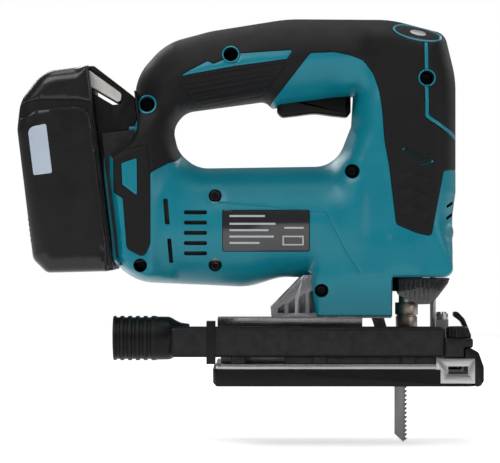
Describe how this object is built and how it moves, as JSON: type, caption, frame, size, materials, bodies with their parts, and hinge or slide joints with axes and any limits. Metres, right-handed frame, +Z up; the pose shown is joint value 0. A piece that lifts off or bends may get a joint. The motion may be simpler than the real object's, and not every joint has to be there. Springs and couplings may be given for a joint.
{
  "type": "cordless jigsaw",
  "caption": "Cordless jigsaw with a D-shaped handle, slide-on battery pack, tilting sole, dust nozzle with hose cuff, and a reciprocating blade driven by a motor and crank.",
  "frame": {"origin": "centre of the sole's underside", "axes": "+X is the cutting direction, +Y the left side of the tool, +Z up, away from the work"},
  "size_m": [0.2636, 0.076, 0.244],
  "materials": {
    "teal_plastic": "fine-grained moulded nylon, satin",
    "soft_grip": "moulded elastomer, satin",
    "black_plastic": "black nylon, satin",
    "badge_grey": "pale grey inlay",
    "plate_print": "printed foil, glossy",
    "black_screws": "blackened steel",
    "cast_aluminium": "die cast, satin",
    "plate_steel": "rolled plate, satin",
    "machined_steel": "ground steel",
    "rotor_steel": "laminated steel",
    "copper": "copper",
    "bronze": "sintered bronze",
    "circuit_board": "coated board",
    "lamp_clear": "clear lens",
    "smoked_clear": "smoked polycarbonate",
    "cell_wrap": "shrink sleeve",
    "label_grey": "printed foil",
    "button_grey": "warm grey plastic",
    "guard_white": "pale plastic",
    "knob_black": "black plastic on a steel stud"
  },
  "bodies": {
    "housing": {"housing_right": "teal_plastic", "housing_left": "teal_plastic", "grip_right": "soft_grip", "grip_left": "soft_grip", "badge_plate": "teal_plastic", "badge_emblem": "badge_grey", "rating_plate": "plate_print", "housing_screws": "black_screws", "gear_case": "cast_aluminium", "motor_stator": "machined_steel", "stator_coils": "copper", "motor_bearings": "machined_steel", "gear_axle": "machined_steel", "plunger_bushes": "bronze", "switch_body": "black_plastic", "terminal_block": "black_plastic", "contact_blades": "copper", "controller": "circuit_board", "lamp_lens": "lamp_clear", "wire_guard": "machined_steel"},
    "motor_rotor": {"motor_shaft": "machined_steel", "rotor_core": "rotor_steel", "cooling_fan": "black_plastic"},
    "crank_gear": {"drive_gear": "machined_steel"},
    "plunger": {"plunger_rod": "machined_steel", "yoke": "machined_steel", "blade_holder": "machined_steel", "blade": "machined_steel"},
    "opener": {"tool_opener": "black_plastic"},
    "cover": {"dust_cover": "smoked_clear"},
    "arm": {"roller_arm": "cast_aluminium", "roller_pin": "machined_steel"},
    "roller_wheel": {"roller": "machined_steel"},
    "orbit_control": {"orbit_lever": "black_plastic"},
    "trigger_body": {"trigger": "black_plastic"},
    "lock": {"lock_button": "black_plastic"},
    "battery": {"battery_case": "black_plastic", "battery_rails": "black_plastic", "battery_cells": "cell_wrap", "cell_straps": "machined_steel", "battery_board": "circuit_board", "battery_contacts": "copper", "battery_label": "label_grey"},
    "battery_release": {"battery_button": "button_grey"},
    "saddle": {"base_saddle": "plate_steel"},
    "base": {"sole_plate": "plate_steel", "sole_cover": "black_plastic", "base_bracket": "cast_aluminium", "splinter_guard": "guard_white", "guide_clamp": "machined_steel", "dust_nozzle": "black_plastic", "nozzle_clip": "black_plastic"},
    "knob": {"nozzle_knob": "knob_black"}
  },
  "joints": [
    {"name": "gear_spin", "type": "hinge", "parent": "housing", "child": "crank_gear", "pos_m": [0.018, 0, 0.1166], "axis": [1, 0, 0], "continuous": true},
    {"name": "motor_spin", "type": "hinge", "parent": "housing", "child": "motor_rotor", "pos_m": [0, 0, 0.0906], "axis": [1, 0, 0], "continuous": true},
    {"name": "plunger_stroke", "type": "slide", "parent": "housing", "child": "plunger", "axis": [0, 0, 1], "range_m": [-0.013, 0.013]},
    {"name": "tool_opener_turn", "type": "hinge", "parent": "housing", "child": "opener", "pos_m": [0.035, 0, 0.06], "axis": [0, 0, 1], "range_deg": [0, 25], "stiffness_Nm_per_rad": 0.05},
    {"name": "dust_cover_slide", "type": "slide", "parent": "housing", "child": "cover", "axis": [0, 0, 1], "range_m": [-0.015, 0]},
    {"name": "roller_swing", "type": "hinge", "parent": "housing", "child": "arm", "pos_m": [0.017, 0, 0.045], "axis": [0, 1, 0], "range_deg": [0, 2.5]},
    {"name": "roller_spin", "type": "hinge", "parent": "arm", "child": "roller_wheel", "pos_m": [0.0226, 0, 0.0205], "axis": [0, 1, 0], "continuous": true},
    {"name": "orbit_lever_turn", "type": "hinge", "parent": "housing", "child": "orbit_control", "pos_m": [0, 0.028, 0.05], "axis": [0, 1, 0], "range_deg": [0, 60]},
    {"name": "trigger_pull", "type": "slide", "parent": "housing", "child": "trigger_body", "axis": [0, 0, 1], "range_m": [0, 0.006], "stiffness_N_per_m": 400, "springref_m": -0.003},
    {"name": "lock_button_push", "type": "slide", "parent": "housing", "child": "lock", "axis": [0, -1, 0], "range_m": [0, 0.003], "stiffness_N_per_m": 400, "springref_m": -0.002},
    {"name": "battery_slide", "type": "slide", "parent": "housing", "child": "battery", "axis": [-0.1219, 0, 0.9925], "range_m": [0, 0.11]},
    {"name": "battery_button_push", "type": "slide", "parent": "battery", "child": "battery_release", "axis": [-0.9925, 0, -0.1219], "range_m": [0, 0.004], "stiffness_N_per_m": 500, "springref_m": -0.002},
    {"name": "base_slide", "type": "slide", "parent": "housing", "child": "saddle", "axis": [1, 0, 0], "range_m": [-0.013, 0]},
    {"name": "base_tilt", "type": "hinge", "parent": "saddle", "child": "base", "pos_m": [0, 0, 0], "axis": [1, 0, 0], "range_deg": [0, 45]},
    {"name": "nozzle_knob_spin", "type": "hinge", "parent": "base", "child": "knob", "pos_m": [0.062, -0.031, 0.03], "axis": [0, 0, 1], "continuous": true}
  ],
  "couplings": [
    {"joint": "motor_spin", "follows": "gear_spin", "ratio": -4.2}
  ]
}
